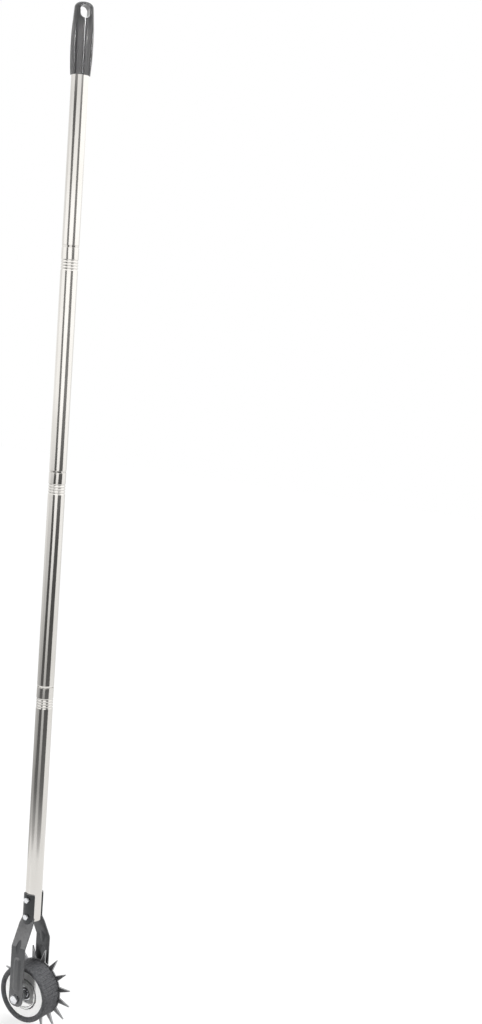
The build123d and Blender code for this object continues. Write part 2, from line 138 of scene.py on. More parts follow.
world = bpy.data.worlds.new("studio")
world.use_nodes = True
bpy.context.scene.world = world
background = world.node_tree.nodes["Background"]
background.inputs["Color"].default_value = (1, 1, 1, 1)
world_level = world.node_tree.nodes.new("ShaderNodeMapRange")
world_level.inputs["To Min"].default_value = fill_level
world_level.inputs["To Max"].default_value = 1.0
world.node_tree.links.new(seen_directly(world.node_tree), world_level.inputs["Value"])
world.node_tree.links.new(world_level.outputs["Result"], background.inputs["Strength"])
print("world: white to the eye,", fill_level, "as light")

# %% [markdown]
# ### Floor of white paper
#
# The floor mixes that white with an ordinary matt surface, so a faint shadow stays. The light that
# it throws back up is kept low, because otherwise the undersides would be as light as the tops.

# %% Paper floor
floor_reach = 6.0
floor_white_share = 0.8
floor_shade = 0.9
bounce_shade = 0.22

floor_finish = bpy.data.materials.new("floor_paper")
floor_finish.use_nodes = True
floor_tree = floor_finish.node_tree
floor_tree.nodes.remove(floor_tree.nodes["Principled BSDF"])
paper = floor_tree.nodes.new("ShaderNodeBsdfDiffuse")
paper_shade = floor_tree.nodes.new("ShaderNodeMapRange")
paper_shade.inputs["To Min"].default_value = bounce_shade
paper_shade.inputs["To Max"].default_value = floor_shade
plain_white = floor_tree.nodes.new("ShaderNodeEmission")
white_share = floor_tree.nodes.new("ShaderNodeMath")
white_share.operation = "MULTIPLY"
white_share.inputs[1].default_value = floor_white_share
floor_mix = floor_tree.nodes.new("ShaderNodeMixShader")
floor_seen = seen_directly(floor_tree)
floor_tree.links.new(floor_seen, paper_shade.inputs["Value"])
floor_tree.links.new(paper_shade.outputs["Result"], paper.inputs["Color"])
floor_tree.links.new(floor_seen, white_share.inputs[0])
floor_tree.links.new(white_share.outputs[0], floor_mix.inputs["Fac"])
floor_tree.links.new(paper.outputs[0], floor_mix.inputs[1])
floor_tree.links.new(plain_white.outputs[0], floor_mix.inputs[2])
floor_tree.links.new(floor_mix.outputs[0], floor_tree.nodes["Material Output"].inputs["Surface"])


def finished_mesh(name, form, *finishes, crease=None):
    """Turns a bmesh into an object at the origin. Edges bent by less than the crease are smooth."""
    mesh = bpy.data.meshes.new(name)
    form.to_mesh(mesh)
    form.free()
    if crease:
        mesh.shade_smooth()
        mesh.set_sharp_from_angle(angle=math.radians(crease))
    piece = bpy.data.objects.new(name, mesh)
    bpy.context.scene.collection.objects.link(piece)
    for finish in finishes:
        mesh.materials.append(finish)
    return piece


floor_form = bmesh.new()
bmesh.ops.create_grid(floor_form, x_segments=1, y_segments=1, size=floor_reach)
finished_mesh("floor", floor_form, floor_finish)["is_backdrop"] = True
print("floor:", 2 * floor_reach, "m across")

# %% [markdown]
# ## Lamps
#
# In the picture the tops of things are light, their sides are darker, and the sides grow lighter
# again towards the white floor. That is one soft light overhead, with the floor throwing some of
# it back up. A sun lamp with a wide disc gives such a light, evenly from the grip to the wheel. The
# near fork arm also throws a shadow to the right, over the wheel's white face, so a softbox stands
# low on the left. Three more fill in: one high up for the grip, one from the right for the tread,
# and one behind, for whoever walks round the tool. Each has a grid, which narrows its beam and
# keeps its light off the floor beside it.

# %% Overhead light and softboxes
WHITE_SUN = math.pi
overhead_level = 1.15
overhead_lean = math.radians(8)
overhead_turn = math.radians(90)
overhead_disc = math.radians(30)

overhead_data = bpy.data.lights.new("overhead", "SUN")
overhead_data.energy = overhead_level * WHITE_SUN
overhead_data.angle = overhead_disc
overhead = bpy.data.objects.new("overhead", overhead_data)
bpy.context.scene.collection.objects.link(overhead)
lean_side = Matrix.Rotation(overhead_turn, 4, "Z") @ towards_camera
overhead_from = lean_side * math.sin(overhead_lean) + Vector((0, 0, math.cos(overhead_lean)))
overhead.rotation_euler = (-overhead_from).to_track_quat("-Z", "Y").to_euler()
overhead.visible_glossy = False


def softbox(name, turn, distance, height, size, level, spread):
    """Area lamp this many degrees to the right of the camera. Level 1 lights white paper to white."""
    half_spread = math.radians(spread) / 2
    # A grid in front of a box keeps the power and narrows the beam, so its middle gets brighter
    grid_gain = math.tan(half_spread) / (math.tan(half_spread) - half_spread)
    lamp_data = bpy.data.lights.new(name, "AREA")
    lamp_data.shape = "RECTANGLE"
    lamp_data.size, lamp_data.size_y = size
    lamp_data.spread = 2 * half_spread
    lamp_data.energy = level * (math.pi * distance) ** 2 / grid_gain
    lamp = bpy.data.objects.new(name, lamp_data)
    bpy.context.scene.collection.objects.link(lamp)
    lamp.location = Matrix.Rotation(math.radians(turn), 4, "Z") @ (towards_camera * distance)
    lamp.location.z = height
    aim = Vector((0, 0, height)) - lamp.location
    lamp.rotation_euler = aim.to_track_quat("-Z", "Y").to_euler()
    lamp.visible_glossy = False
    lamp.visible_camera = False


softbox("low_left_box", turn=-62, distance=0.8, height=0.06, size=(0.16, 0.07), level=0.92, spread=60)
softbox("high_left_box", turn=-35, distance=1.5, height=1.45, size=(0.5, 0.6), level=0.9, spread=70)
softbox("right_box", turn=70, distance=2.2, height=0.45, size=(1.0, 0.8), level=0.65, spread=150)
softbox("back_box", turn=165, distance=2.2, height=0.85, size=(1.0, 1.6), level=0.5, spread=120)

# %% [markdown]
# ## Cards for the polished metal
#
# Polished steel has no look of its own: it shows the room. A photographer stands white boxes and
# black flags round it, and they draw the bands that run down the pole. The cards here do only
# that. They are seen by mirror-like rays alone, so they neither light the tool nor shade it. The
# flags grow dark only above the floor line, so the foot of the pole shows the pale floor.

# %% Card helpers
card_distance = 0.9
# Heights where a card changes, from its foot to its head
card_heights = (0.0, 0.14, 0.45, 0.7, 0.95, 1.3, 1.5, 1.75)
CARD_ROWS = len(card_heights)


def card_finish(name, levels):
    """Glow that goes through these levels from the foot of a card to its head."""
    finish = bpy.data.materials.new(name)
    finish.use_nodes = True
    tree = finish.node_tree
    tree.nodes.remove(tree.nodes["Principled BSDF"])
    place = tree.nodes.new("ShaderNodeTexCoord")
    split = tree.nodes.new("ShaderNodeSeparateXYZ")
    share = tree.nodes.new("ShaderNodeMath")
    share.operation = "DIVIDE"
    share.inputs[1].default_value = card_heights[-1]
    ramp = tree.nodes.new("ShaderNodeValToRGB")
    glow = tree.nodes.new("ShaderNodeEmission")
    stops = ramp.color_ramp.elements
    while len(stops) < len(levels):
        stops.new(1.0)
    for stop, height, level in zip(stops, card_heights, levels):
        stop.position = height / card_heights[-1]
        stop.color = (level, level, level, 1)
    tree.links.new(place.outputs["Object"], split.inputs[0])
    tree.links.new(split.outputs["Z"], share.inputs[0])
    tree.links.new(share.outputs[0], ramp.inputs["Fac"])
    tree.links.new(ramp.outputs["Color"], glow.inputs["Color"])
    tree.links.new(glow.outputs[0], tree.nodes["Material Output"].inputs["Surface"])
    return finish


def at_turn(turn, height, distance=card_distance):
    """Point this far from the pole, this many degrees to the right of the camera."""
    outwards = Matrix.Rotation(math.radians(turn), 4, "Z") @ towards_camera
    return outwards * distance + Vector((0, 0, height))


def for_gloss_only(card):
    """Lets only mirror-like rays see a card."""
    card.visible_camera = False
    card.visible_diffuse = False
    card.visible_shadow = False
    card.visible_transmission = False
    card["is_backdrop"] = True


print("cards change at", CARD_ROWS, "heights, up to", card_heights[-1], "m")

# %% [markdown]
# ### Boxes, flags and ceiling
#
# The lines between the cards lean and bend, because the bands on the pole grow wider and narrower
# on their way up. A card is a ladder of short edges, bridged one to the next, and its glow changes
# from rung to rung. A bright ceiling closes the room, for the rings and bolts that look up.

# %% Stand the cards round the tool
# Lines between the cards at those heights, in degrees to the right of the camera
card_edges = {
    "left_back": (-180,) * CARD_ROWS,
    "left_side": (-99,) * CARD_ROWS,
    "left_box_end": (-84, -82, -61, -46, -45, -53, -66, -66),
    "left_flag_end": (-36, -36, -26, -16, -20, -29, -28, -28),
    "middle_end": (-5, -5, 2, 16, 22, 22, 20, 20),
    "right_flag_end": (52, 52, 57, 66, 64, 50, 44, 44),
    "right_side": (121,) * CARD_ROWS,
    "right_back": (180,) * CARD_ROWS,
}
# Each card's two lines, then how bright it is at those heights
cards = {
    "left_side_card": ("left_back", "left_side", (0.7, 0.45, 0.7, 1.0, 1.15, 1.0, 0.95, 1.5)),
    "left_box": ("left_side", "left_box_end", (0.65, 0.32, 0.62, 0.8, 1.3, 1.35, 1.0, 1.5)),
    "left_flag": ("left_box_end", "left_flag_end", (0.6, 0.16, 0.1, 0.08, 0.26, 0.26, 0.12, 1.5)),
    "middle_box": ("left_flag_end", "middle_end", (0.9, 0.4, 0.8, 1.15, 1.5, 1.45, 1.0, 1.5)),
    "right_flag": ("middle_end", "right_flag_end", (0.6, 0.17, 0.1, 0.1, 0.28, 0.28, 0.26, 1.5)),
    "right_box": ("right_flag_end", "right_side", (1.0, 1.05, 1.05, 1.2, 1.4, 1.5, 1.5, 1.5)),
    "right_side_card": ("right_side", "right_back", (1.0, 0.95, 0.95, 0.95, 1.05, 1.1, 1.4, 1.5)),
}
ceiling_height = 1.75
ceiling_reach = 2.0
ceiling_level = 1.5

for card_name, (left, right, levels) in cards.items():
    card_form = bmesh.new()
    rungs = []
    for height, left_turn, right_turn in zip(card_heights, card_edges[left], card_edges[right]):
        corners = (at_turn(left_turn, height), at_turn(right_turn, height))
        rungs.append(card_form.edges.new([card_form.verts.new(corner) for corner in corners]))
    for lower, upper in zip(rungs, rungs[1:]):
        bmesh.ops.bridge_loops(card_form, edges=[lower, upper])
    for_gloss_only(finished_mesh(card_name, card_form, card_finish(card_name, levels)))

ceiling_form = bmesh.new()
bmesh.ops.create_grid(ceiling_form, x_segments=1, y_segments=1, size=ceiling_reach)
bmesh.ops.translate(ceiling_form, verts=ceiling_form.verts, vec=(0, 0, ceiling_height))
ceiling_finish = card_finish("ceiling_card", (ceiling_level,) * CARD_ROWS)
for_gloss_only(finished_mesh("ceiling_card", ceiling_form, ceiling_finish))
print("cards:", len(cards), "and a ceiling")

# %% [markdown]
# ### A highlight for the grip
#
# In the picture a thin streak of light runs down from the hang hole, along the edge of a flute.
# It is the mirror image of a lamp above the camera and to its right. On the pole such a lamp would
# burn out a dark band, and a photographer would hold a flag before it. Light linking does the same
# here: it lets the small bright box reach one collection alone, and the grip is all that it holds.

# %% Bright box for the grip
key_distance = 0.86
# Corners of the box, as turns in degrees and heights
key_outline = ((12, 1.61), (40, 1.61), (40, 1.74), (12, 1.74))
key_level = 80

key_form = bmesh.new()
key_corners = [at_turn(turn, height, key_distance) for turn, height in key_outline]
key_form.faces.new([key_form.verts.new(corner) for corner in key_corners])
key_box = finished_mesh("key_box", key_form, card_finish("key_box", (key_level,) * CARD_ROWS))
for_gloss_only(key_box)
grip_only = bpy.data.collections.new("grip_only")
grip_only.objects.link(nodes["hand_grip"])
key_box.light_linking.receiver_collection = grip_only
print("bright box:", [round(value, 2) for value in key_corners[0]], "m at its first corner")

# %% [markdown]
# ## Finishes
#
# A real surface is never one flat colour. Pictures of scratches and dust would need a UV map on
# every piece, so each finish below starts from one shader and adds noise read from Object
# coordinates, whose size is a real length: broad noise for slight shifts of colour, finer noise
# for roughness, and the finest as bump for grain.

# %% Helpers for finishes
# Noise rarely leaves this span, so colours and roughness are spread over it
NOISE_SPAN = (0.3, 0.7)
FULL_SPAN = (0.0, 1.0)


def new_finish(name, colour, roughness, metallic=0.0):
    """Material with one Principled shader, set to plain values that the later steps vary."""
    finish = bpy.data.materials.new(name)
    finish.use_nodes = True
    shader = finish.node_tree.nodes["Principled BSDF"]
    shader.inputs["Base Color"].default_value = (*colour, 1)
    shader.inputs["Roughness"].default_value = roughness
    shader.inputs["Metallic"].default_value = metallic
    return finish


def grain(finish, size, detail=3.0, stretch=(1, 1, 1)):
    """Noise whose features are about this many metres wide, drawn out where stretch is small."""
    tree = finish.node_tree
    place = tree.nodes.new("ShaderNodeTexCoord")
    mapping = tree.nodes.new("ShaderNodeMapping")
    mapping.inputs["Scale"].default_value = stretch
    noise = tree.nodes.new("ShaderNodeTexNoise")
    noise.inputs["Scale"].default_value = 1 / size
    noise.inputs["Detail"].default_value = detail
    tree.links.new(place.outputs["Object"], mapping.inputs["Vector"])
    tree.links.new(mapping.outputs["Vector"], noise.inputs["Vector"])
    return noise.outputs["Fac"]


def vary_colour(finish, value, first, last, span=NOISE_SPAN):
    """Shifts the colour from the first shade to the last as a value crosses the span."""
    tree = finish.node_tree
    ramp = tree.nodes.new("ShaderNodeValToRGB")
    for stop, position, shade in zip(ramp.color_ramp.elements, span, (first, last)):
        stop.position = position
        stop.color = (*shade, 1)
    tree.links.new(value, ramp.inputs["Fac"])
    tree.links.new(ramp.outputs["Color"], tree.nodes["Principled BSDF"].inputs["Base Color"])


def spread_between(finish, value, span, least=0.0, most=1.0):
    """Goes from the least to the most as a value crosses the span."""
    tree = finish.node_tree
    spread = tree.nodes.new("ShaderNodeMapRange")
    spread.inputs["From Min"].default_value = span[0]
    spread.inputs["From Max"].default_value = span[1]
    spread.inputs["To Min"].default_value = least
    spread.inputs["To Max"].default_value = most
    tree.links.new(value, spread.inputs["Value"])
    return spread.outputs["Result"]


def vary_roughness(finish, noise, smooth, rough):
    """Spreads the roughness between two values with the noise."""
    tree = finish.node_tree
    roughness = spread_between(finish, noise, NOISE_SPAN, smooth, rough)
    tree.links.new(roughness, tree.nodes["Principled BSDF"].inputs["Roughness"])


def add_bump(finish, noise, depth):
    """Bump of about this depth in metres."""
    tree = finish.node_tree
    bump = tree.nodes.new("ShaderNodeBump")
    bump.inputs["Distance"].default_value = depth
    tree.links.new(noise, bump.inputs["Height"])
    tree.links.new(bump.outputs["Normal"], tree.nodes["Principled BSDF"].inputs["Normal"])


print("helpers for colour, roughness and bump ready")

# %% [markdown]
# ### Metals
#
# The pole is stainless tube, polished lengthwise, so its finest grain is drawn out along Z. Zinc
# plate is brighter and a little cloudy. The bearing's rings are ground steel. The blade is rolled
# plate, a darker grey that still mirrors the pale floor a little.

# %% Metal finishes
polished_steel = new_finish("polished_steel", (0.69, 0.67, 0.64), roughness=0.1, metallic=1.0)
vary_colour(polished_steel, grain(polished_steel, 90 * MM), (0.66, 0.64, 0.605), (0.72, 0.70, 0.67))
polish_lines = grain(polished_steel, 0.6 * MM, detail=2.0, stretch=(1, 1, 0.02))
vary_roughness(polished_steel, polish_lines, smooth=0.09, rough=0.15)

zinc_steel = new_finish("zinc_steel", (0.80, 0.81, 0.83), roughness=0.25, metallic=1.0)
vary_colour(zinc_steel, grain(zinc_steel, 3 * MM), (0.77, 0.78, 0.80), (0.84, 0.85, 0.87))
vary_roughness(zinc_steel, grain(zinc_steel, 1.2 * MM), smooth=0.20, rough=0.32)
add_bump(zinc_steel, grain(zinc_steel, 0.7 * MM), depth=0.008 * MM)

bearing_steel = new_finish("bearing_steel", (0.66, 0.67, 0.69), roughness=0.2, metallic=1.0)
vary_colour(bearing_steel, grain(bearing_steel, 4 * MM), (0.60, 0.61, 0.63), (0.72, 0.73, 0.75))
ground_lines = grain(bearing_steel, 0.5 * MM, detail=2.0, stretch=(1, 0.1, 1))
vary_roughness(bearing_steel, ground_lines, smooth=0.14, rough=0.26)

dark_steel = new_finish("dark_steel", (0.27, 0.27, 0.275), roughness=0.44, metallic=0.7)
vary_colour(dark_steel, grain(dark_steel, 4 * MM), (0.25, 0.25, 0.255), (0.31, 0.31, 0.315))
vary_roughness(dark_steel, grain(dark_steel, 3 * MM), smooth=0.36, rough=0.52)
add_bump(dark_steel, grain(dark_steel, 1 * MM), depth=0.04 * MM)
print("metals: pole, zinc plate, bearing and blade")

# %% [markdown]
# ### Enamel with dust and painted light on it
#
# The fork is dipped in black enamel, which flows into a slight orange peel before it sets. On the
# real one the upright tab at the pole stays black, while the slopes above the wheel and the legs
# beside it look grey. Part of that grey is fine dust on whatever faces up or stays close to the
# ground, and part is painted light: the grey on faces that look up stands in for the overhead
# light, and the grey low down for the light that the floor throws back. The mask reads both from
# the piece: its normal, and its height above the floor.

# %% Dusty enamel with painted light
enamel_black = (0.034, 0.037, 0.039)
dust_and_light_grey = (0.19, 0.19, 0.192)
# Spans over which dust and painted light grow: how far a face looks up, how low it is in metres,
# and the patches
dust_and_light_slopes = (0.12, 0.42)
dust_and_bounce_heights = (0.235, 0.055)
dust_and_bounce_at_ground = 0.62
dust_and_light_patches = (-0.7, 0.6)


def along(finish, kind, axis):
    """The surface's normal, or its place, along one axis of the piece's own space."""
    tree = finish.node_tree
    place = tree.nodes.new("ShaderNodeTexCoord")
    split = tree.nodes.new("ShaderNodeSeparateXYZ")
    tree.links.new(place.outputs[kind], split.inputs[0])
    return split.outputs[axis]


def joined(finish, operation, first, second):
    """Joins two values with one Math node."""
    tree = finish.node_tree
    join = tree.nodes.new("ShaderNodeMath")
    join.operation = operation
    tree.links.new(first, join.inputs[0])
    tree.links.new(second, join.inputs[1])
    return join.outputs[0]


black_enamel = new_finish("black_enamel", enamel_black, roughness=0.4)
facing_up = along(black_enamel, "Normal", "Z")
height_up = along(black_enamel, "Object", "Z")
# Grey on faces that look up is dust and painted overhead light; grey low down is dust and painted floor bounce
dust_and_top_light = spread_between(black_enamel, facing_up, dust_and_light_slopes)
dust_and_floor_bounce = spread_between(black_enamel, height_up, dust_and_bounce_heights, most=dust_and_bounce_at_ground)
patchy = spread_between(black_enamel, grain(black_enamel, 4 * MM, detail=5.0), dust_and_light_patches)
most_dust_and_light = joined(black_enamel, "MAXIMUM", dust_and_top_light, dust_and_floor_bounce)
dust_and_light_mask = joined(black_enamel, "MULTIPLY", most_dust_and_light, patchy)
vary_colour(black_enamel, dust_and_light_mask, enamel_black, dust_and_light_grey, FULL_SPAN)
vary_roughness(black_enamel, grain(black_enamel, 6 * MM), smooth=0.34, rough=0.5)
add_bump(black_enamel, grain(black_enamel, 1.6 * MM, detail=1.0), depth=0.05 * MM)
black_enamel.node_tree.nodes["Principled BSDF"].inputs["Specular IOR Level"].default_value = 0.35
print("enamel: dusty below", dust_and_bounce_heights[0], "m")

# %% [markdown]
# ### Plastic of the grip
#
# The grip is moulded in black plastic with a fine satin grain. Hands have rubbed its ridges grey,
# and its eight flutes are painted darker, as the shade that falls in them. A flute has a fixed
# place round the pole, so the finish takes each point's angle round Z and turns it into a wave with
# one crest in every flute.

# %% Grip plastic
FLUTES = 8
flute_turn = math.radians(39)
# Where a flute turns into a ridge, on the wave, and the heights over which the ridges fade out
ridge_edges = (0.9, 0.5)
ridge_ends = (1.488, 1.470)
flute_shade_black = (0.042, 0.042, 0.044)
ridge_grey = (0.122, 0.121, 0.122)

grip_plastic = new_finish("grip_plastic", (0.09, 0.09, 0.092), roughness=0.2)
grip_tree = grip_plastic.node_tree
across = along(grip_plastic, "Object", "X")
deep = along(grip_plastic, "Object", "Y")
flute_wave = grip_tree.nodes.new("ShaderNodeMath")
flute_wave.operation = "MULTIPLY_ADD"
flute_wave.inputs[1].default_value = FLUTES
flute_wave.inputs[2].default_value = -FLUTES * flute_turn
flute_cosine = grip_tree.nodes.new("ShaderNodeMath")
flute_cosine.operation = "COSINE"
grip_tree.links.new(joined(grip_plastic, "ARCTAN2", across, deep), flute_wave.inputs[0])
grip_tree.links.new(flute_wave.outputs[0], flute_cosine.inputs[0])
# The flutes' black is painted shade; the ridges' grey is wear from hands
on_ridge = spread_between(grip_plastic, flute_cosine.outputs[0], ridge_edges)
below_neck = spread_between(grip_plastic, along(grip_plastic, "Object", "Z"), ridge_ends)
wear_and_flute_shade = joined(grip_plastic, "MULTIPLY", on_ridge, below_neck)
vary_colour(grip_plastic, wear_and_flute_shade, flute_shade_black, ridge_grey, FULL_SPAN)
vary_roughness(grip_plastic, grain(grip_plastic, 6 * MM), smooth=0.14, rough=0.24)
add_bump(grip_plastic, grain(grip_plastic, 0.7 * MM, detail=2.0), depth=0.01 * MM)
grip_tree.nodes["Principled BSDF"].inputs["Specular IOR Level"].default_value = 0.4
print("grip:", FLUTES, "dark flutes")

# %% [markdown]
# ### White plastic of the wheel
#
# The wheel's core is white. Its face stays clean, because the grass wipes it, but the grooves round
# the hub are painted dark, partly as grime and partly as the shade that falls deep in them. A mask
# painted by hand would fit one mesh alone, so the dark grows with depth along the axle instead. A
# few faint specks lie on the rest.

# %% White plastic
clean_white = (0.9, 0.9, 0.89)
grime_and_shade_grey = (0.10, 0.10, 0.098)
groove_depths = (-10.0 * MM, -7.5 * MM)
groove_grime_and_shade = 0.75
speck_span = (0.62, 0.8)
speck_grime = 0.12

white_plastic = new_finish("white_plastic", clean_white, roughness=0.3)
depth_in = along(white_plastic, "Object", "Y")
# Deep in the grooves the grey is painted shade as well as grime
grime_and_shade = spread_between(white_plastic, depth_in, groove_depths, most=groove_grime_and_shade)
specks = spread_between(white_plastic, grain(white_plastic, 4 * MM, detail=5.0), speck_span, most=speck_grime)
soiled_and_shaded = joined(white_plastic, "MAXIMUM", grime_and_shade, specks)
vary_colour(white_plastic, soiled_and_shaded, clean_white, grime_and_shade_grey, FULL_SPAN)
vary_roughness(white_plastic, grain(white_plastic, 4 * MM), smooth=0.24, rough=0.40)
add_bump(white_plastic, grain(white_plastic, 1.2 * MM), depth=0.02 * MM)
print("white plastic: grime from", groove_depths[0] / MM, "mm inwards")

# %% [markdown]
# ### Rubber and nylon
#
# The tyre and the bearing seals are rubber, which has little gloss, and the tyre is mottled with
# dry soil. Clumps modelled one by one would be lost at this size, so noise with much detail gives
# the mottling. The ring in the axle's lock nut is plain nylon. When all ten finishes are there,
# every node of the frame gets the one that its record names.

# %% Rubber, nylon and the frame's nodes
tyre_rubber = new_finish("tyre_rubber", (0.07, 0.071, 0.075), roughness=0.62)
vary_colour(tyre_rubber, grain(tyre_rubber, 3.5 * MM, detail=5.0), (0.045, 0.046, 0.05), (0.105, 0.106, 0.11))
vary_roughness(tyre_rubber, grain(tyre_rubber, 2 * MM), smooth=0.55, rough=0.74)
add_bump(tyre_rubber, grain(tyre_rubber, 0.8 * MM), depth=0.12 * MM)

seal_rubber = new_finish("seal_rubber", (0.03, 0.03, 0.032), roughness=0.55)
vary_colour(seal_rubber, grain(seal_rubber, 3 * MM), (0.025, 0.025, 0.027), (0.042, 0.042, 0.044))
add_bump(seal_rubber, grain(seal_rubber, 0.6 * MM), depth=0.04 * MM)

nylon = new_finish("nylon", (0.78, 0.77, 0.72), roughness=0.45)
vary_colour(nylon, grain(nylon, 3 * MM), (0.74, 0.73, 0.67), (0.82, 0.81, 0.77))
add_bump(nylon, grain(nylon, 0.6 * MM), depth=0.03 * MM)

finishes = {
    "polished_steel": polished_steel,
    "zinc_steel": zinc_steel,
    "bearing_steel": bearing_steel,
    "dark_steel": dark_steel,
    "black_enamel": black_enamel,
    "grip_plastic": grip_plastic,
    "white_plastic": white_plastic,
    "tyre_rubber": tyre_rubber,
    "seal_rubber": seal_rubber,
    "nylon": nylon,
}
for subpart in frame["record"]["subparts"]:
    mesh = nodes[subpart["node"]].data
    mesh.materials.clear()
    mesh.materials.append(finishes[subpart["material_slot"]])

# %% [markdown]
# ## Tubes with rolled rings
#
# Where two tubes of the pole meet, the upper one ends in a narrow collar that tapers inwards, and
# a neck below it screws into the lower tube. The thread is rolled in from outside, so four rings
# show below each joint. Their steep flanks mirror the floor and the ceiling instead of the walls,
# and that is why they flash white across the dark bands. A tube is a turned shape: half of its
# section is drawn as a line, the corners of the rings are rounded with a vertex bevel, and a full
# spin makes the rest.

# %% Half sections of the tubes
tube_r = 12.5 * MM
bore_r = 11.5 * MM
edge_chamfer = 0.5 * MM
seam_heights = (543 * MM, 861 * MM, 1179 * MM)
neck_r = 11.4 * MM
neck_bore_r = 10.4 * MM
neck_length = 40 * MM
neck_lead = 0.6 * MM
bore_step_foot = 4.4 * MM
bore_step_top = 5.4 * MM
# Collar from its foot up, in mm: how far below the tube's surface, how far above the seam
collar_outline = ((0.7, -0.9), (0.5, -0.7), (0.0, 1.4), (0.3, 1.7), (0.3, 2.1), (0.0, 2.3))
collar_foot = collar_outline[0][1] * MM
mouth_drop = 1.5 * MM
mouth_chamfer = 0.2 * MM
RING_COUNT = 4
ring_drop = 19.3 * MM
ring_pitch = 4.0 * MM
ring_depth = 0.85 * MM
half_ring_mouth = 1.75 * MM
half_ring_floor = 0.45 * MM


def tube_section(foot, top):
    """Half a tube's section as radii and heights: bore at the foot, outside, bore at the top."""
    points = []
    if foot in seam_heights:
        neck_end = foot - neck_length
        points += [(bore_r, foot + bore_step_top), (neck_bore_r, foot + bore_step_foot)]
        points += [(neck_bore_r, neck_end), (neck_r - neck_lead, neck_end)]
        points += [(neck_r, neck_end + neck_lead), (neck_r, foot + collar_foot)]
        points += [(tube_r - depth * MM, foot + rise * MM) for depth, rise in collar_outline]
    else:
        points += [(bore_r, foot), (tube_r - edge_chamfer, foot), (tube_r, foot + edge_chamfer)]
    if top in seam_heights:
        for number in reversed(range(RING_COUNT)):
            middle = top - ring_drop - ring_pitch * number
            points += [(tube_r, middle - half_ring_mouth), (tube_r - ring_depth, middle - half_ring_floor)]
            points += [(tube_r - ring_depth, middle + half_ring_floor), (tube_r, middle + half_ring_mouth)]
        mouth = top - mouth_drop
        points += [(tube_r, mouth - mouth_chamfer), (tube_r - mouth_chamfer, mouth), (bore_r, mouth)]
    else:
        points += [(tube_r, top - edge_chamfer), (tube_r - edge_chamfer, top), (bore_r, top)]
    return points


def seam_near(height):
    """The seam within a millimetre of this height, or None."""
    return next((seam for seam in seam_heights if abs(seam - height) < MM), None)


print("section of the lowest tube:", len(tube_section(0, seam_heights[0])), "points")

# %% Spun tubes
TUBE_SIDES = 96
TUBE_CREASE = 28
ring_rounding = 0.22 * MM
tube_merge = 0.001 * MM


def closed_line(form, points):
    """Draws a closed line through these points and returns its corners."""
    corners = [form.verts.new(point) for point in points]
    for pair in zip(corners, corners[1:] + corners[:1]):
        form.edges.new(pair)
    return corners


def everything(form):
    """All points, edges and faces of a bmesh."""
    return list(form.verts) + list(form.edges) + list(form.faces)


def stand_in(piece, node, body):
    """Shows a piece in place of a node, on the node's body."""
    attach(piece, body)
    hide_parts(node)
    print(piece.name, "for", node + ":", len(piece.data.polygons), "faces")


for tube_name in ("lower_tube", "lower_middle_tube", "upper_middle_tube", "upper_tube"):
    tube_low, tube_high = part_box(tube_name)
    foot = seam_near(tube_low.z + neck_length) or tube_low.z
    top = seam_near(tube_high.z) or tube_high.z
    tube_form = bmesh.new()
    section = [(radius, 0, height) for radius, height in tube_section(foot, top)]
    corners = closed_line(tube_form, section)
    if top in seam_heights:
        rings_top = top - ring_drop + ring_pitch / 2
        rings_foot = rings_top - RING_COUNT * ring_pitch
        ring_corners = [point for point in corners if rings_foot < point.co.z < rings_top]
        bmesh.ops.bevel(
            tube_form, geom=ring_corners, offset=ring_rounding, affect="VERTICES",
            segments=3, profile=0.5, material=-1,
        )
    bmesh.ops.spin(
        tube_form, geom=everything(tube_form), cent=(0, 0, 0), axis=(0, 0, 1),
        angle=math.radians(360), steps=TUBE_SIDES, use_merge=True,
    )
    bmesh.ops.remove_doubles(tube_form, verts=tube_form.verts, dist=tube_merge)
    bmesh.ops.recalc_face_normals(tube_form, faces=tube_form.faces)
    tube_piece = finished_mesh(tube_name + "_turned", tube_form, polished_steel, crease=TUBE_CREASE)
    stand_in(tube_piece, tube_name, "handle")

# %% [markdown]
# ## Hex bolts and nuts
#
# A hex head has six flats, a crown chamfered at 30 degrees so that no corner cuts a hand, and a
# round washer face under it. A six-sided cylinder would miss the curved line where the chamfer
# runs across the flats. So a head here is a stack of 48-sided rings, each extruded from the last,
# and the points of each ring are pushed out to a hexagon or left round.

# %% Stacks of rings
RING_SIDES = 48
CROWN_SLOPE = math.tan(math.radians(30))
# Where the crown's chamfer starts, as a share of the flats
CROWN_START = 0.94


def hexagon_reach(flats, turn):
    """Distance from the middle of a hexagon to its edge in this direction. Corners lie along X."""
    sixth = math.radians(60)
    return flats / 2 / math.cos(turn % sixth - sixth / 2)


def facing(side, y, z):
    """Place whose local Z looks along +Y for side 1 and along -Y for side -1."""
    return Matrix.Translation((0, y, z)) @ Matrix.Rotation(math.radians(-90 * side), 4, "X")


def only(kind, things):
    """The things of one bmesh type."""
    return [thing for thing in things if isinstance(thing, kind)]


def ring_stack(form, place, rings):
    """Closed stack of rings: each has a kind, a size in mm (radius or flats) and a height in mm."""
    ring = bmesh.ops.create_circle(form, cap_ends=True, segments=RING_SIDES, radius=1.0)["verts"]
    cap = ring[0].link_faces[0]
    made = list(ring)
    for number, (kind, size, height) in enumerate(rings):
        if number:
            raised = bmesh.ops.extrude_face_region(form, geom=[cap])["geom"]
            # The first cap closes the foot, and the ones between would be walls inside
            if number > 1:
                bmesh.ops.delete(form, geom=[cap], context="FACES_ONLY")
            ring = only(bmesh.types.BMVert, raised)
            cap = only(bmesh.types.BMFace, raised)[0]
            made += ring
        for point in ring:
            turn = math.atan2(point.co.y, point.co.x)
            reach = size if kind == "round" else hexagon_reach(size, turn)
            drop = (reach - CROWN_START * size / 2) * CROWN_SLOPE if kind == "crown" else 0
            point.co = Vector((reach * math.cos(turn), reach * math.sin(turn), height - drop)) * MM
    bmesh.ops.transform(form, matrix=place, verts=made)


